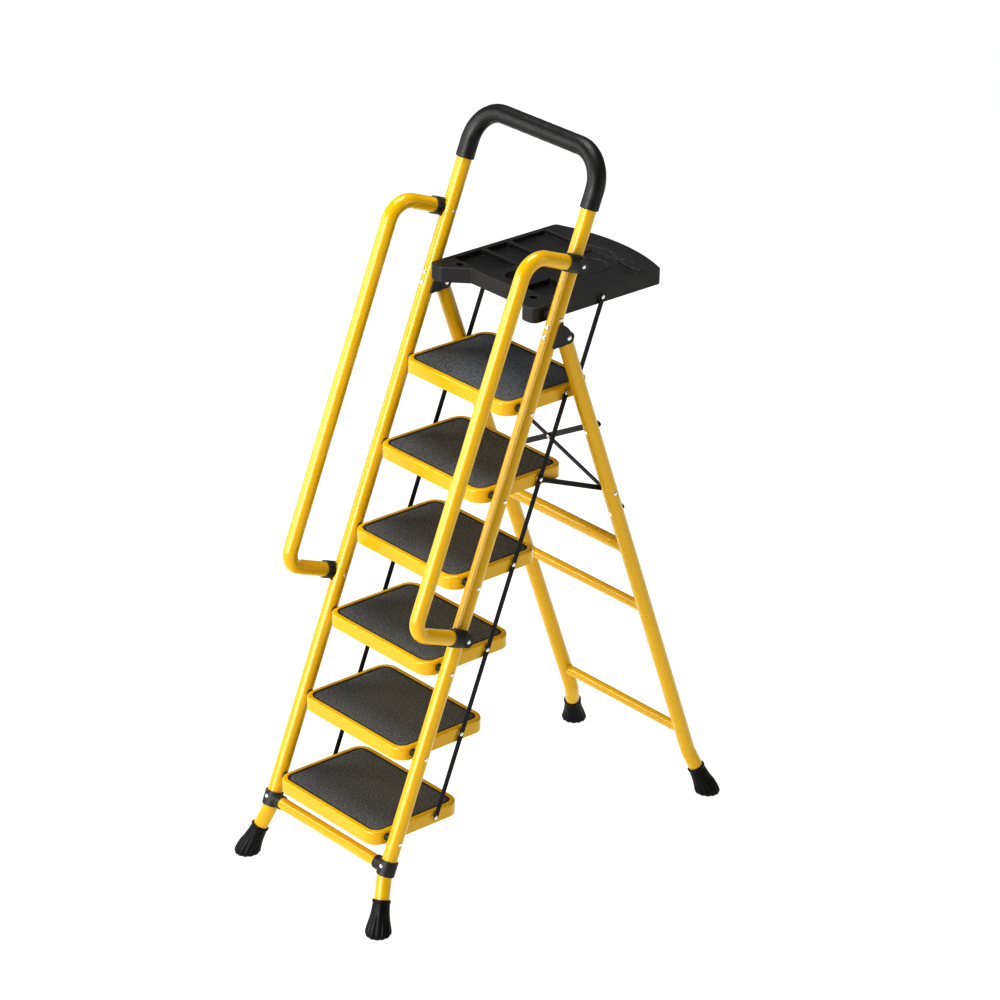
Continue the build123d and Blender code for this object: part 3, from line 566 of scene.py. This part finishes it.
# ---- studio -------------------------------------------------------------------------------------
FLOOR_HALF = 40.0
FLOOR_GLOW = 0.92                    # enough to read as white where no lamp reaches
LAMP_TARGET = (0.0, 0.0, 0.9)
WHITE = (1.0, 1.0, 1.0)
WARM = (1.0, 0.90, 0.76)
SOFTBOXES = {                        # place, width and height, watts, colour
    "key": ((0.3, -4.9, 2.5), (0.9, 3.6), 192.0, WHITE),
    "sheen": ((-0.2, -4.6, 1.9), (6.0, 3.0), 290.0, WHITE),
    "side": ((-3.6, -2.6, 2.4), (1.0, 3.2), 70.0, WHITE),
    "top": ((-0.6, 0.2, 4.6), (2.0, 2.0), 110.0, WHITE),
    "rim": ((3.6, 2.4, 2.2), (0.8, 3.0), 22.0, WARM),
}
REFLECTED_ONLY = ["sheen"]           # shows only as a broad band along the tubes
WORLD_STRENGTH = 0.24
VIEW_GAMMA = 0.76                    # below 1 adds contrast


def make_floor():
    """Wide pale floor, bright enough to read as a white sweep."""
    mesh = bpy.data.meshes.new("studio_floor")
    corners = [(-1, -1), (1, -1), (1, 1), (-1, 1)]
    mesh.from_pydata([(x * FLOOR_HALF, y * FLOOR_HALF, 0) for x, y in corners], [], [(0, 1, 2, 3)])
    floor = bpy.data.objects.new("studio_floor", mesh)
    bpy.context.scene.collection.objects.link(floor)
    f = Finish("studio_floor")
    colour = f.blend(f.noise(0.6, 2.0), rgb(0.24, 0.24, 0.24), rgb(0.26, 0.26, 0.26))
    f.set(Base_Color=colour, Roughness=0.9, Emission_Color=rgb(1, 1, 1), Emission_Strength=FLOOR_GLOW)
    mesh.materials.append(f.material)


def add_softbox(name, place, size, power, colour):
    """Soft rectangular lamp aimed at the middle of the ladder."""
    lamp = bpy.data.lights.new(name, "AREA")
    lamp.shape = "RECTANGLE"
    lamp.size, lamp.size_y = size
    lamp.energy = power
    lamp.color = colour
    box = bpy.data.objects.new(name, lamp)
    box.location = place
    box.rotation_euler = (Vector(LAMP_TARGET) - Vector(place)).to_track_quat("-Z", "Y").to_euler()
    box.visible_diffuse = name not in REFLECTED_ONLY
    bpy.context.scene.collection.objects.link(box)


def make_lights():
    """Key in front, a wide sheet seen only in reflections, side and top boxes and a warm rim."""
    for name, (place, size, power, colour) in SOFTBOXES.items():
        add_softbox(name, place, size, power, colour)
    world = bpy.data.worlds.new("studio")
    bpy.context.scene.world = world
    world.use_nodes = True
    background = world.node_tree.nodes["Background"]
    background.inputs["Color"].default_value = rgb(1.0, 0.98, 0.95)
    background.inputs["Strength"].default_value = WORLD_STRENGTH


CAMERA_AZIMUTH = math.radians(48.043)      # 0 looks along +Y, from the climber's side
CAMERA_ELEVATION = math.radians(25.200)
CAMERA_ROLL = math.radians(1.3095)
CAMERA_AIM = Vector((-0.0005, 0.0406, 0.8910))
CAMERA_DISTANCE = 9.7273
CAMERA_LENS = 142.53
CAMERA_SENSOR = 36.0


def make_camera():
    """Camera aimed at the ladder's middle and rolled about its own axis."""
    a, e = CAMERA_AZIMUTH, CAMERA_ELEVATION
    back = Vector((math.sin(a) * math.cos(e), -math.cos(a) * math.cos(e), math.sin(e)))
    right = (-back).cross(Vector((0, 0, 1))).normalized()
    up = right.cross(-back)
    rolled_right = right * math.cos(CAMERA_ROLL) + up * math.sin(CAMERA_ROLL)
    rolled_up = up * math.cos(CAMERA_ROLL) - right * math.sin(CAMERA_ROLL)
    lens = bpy.data.cameras.new("camera")
    lens.lens = CAMERA_LENS
    lens.sensor_width = CAMERA_SENSOR
    lens.clip_end = 200.0
    camera = bpy.data.objects.new("camera", lens)
    turn = Matrix((rolled_right, rolled_up, back)).transposed().to_4x4()
    camera.matrix_world = Matrix.Translation(CAMERA_AIM + back * CAMERA_DISTANCE) @ turn
    bpy.context.scene.collection.objects.link(camera)
    bpy.context.scene.camera = camera


def set_view():
    """Plain display transform, with a little contrast."""
    settings = bpy.context.scene.view_settings
    settings.view_transform = "Standard"
    settings.look = "None"
    settings.gamma = VIEW_GAMMA


# ---- build everything ---------------------------------------------------------------------------
dress_cad_nodes()
make_grip()
for number in range(1, TREADS + 1):
    make_mat(number)
for side_name, side in SIDES.items():
    make_boot(side_name, side, True)
    make_boot(side_name, side, False)
    for bar_name, bar_r in REAR_BARS.items():
        make_weld(bar_name, side_name, side, bar_r)
make_floor()
make_lights()
make_camera()
set_view()
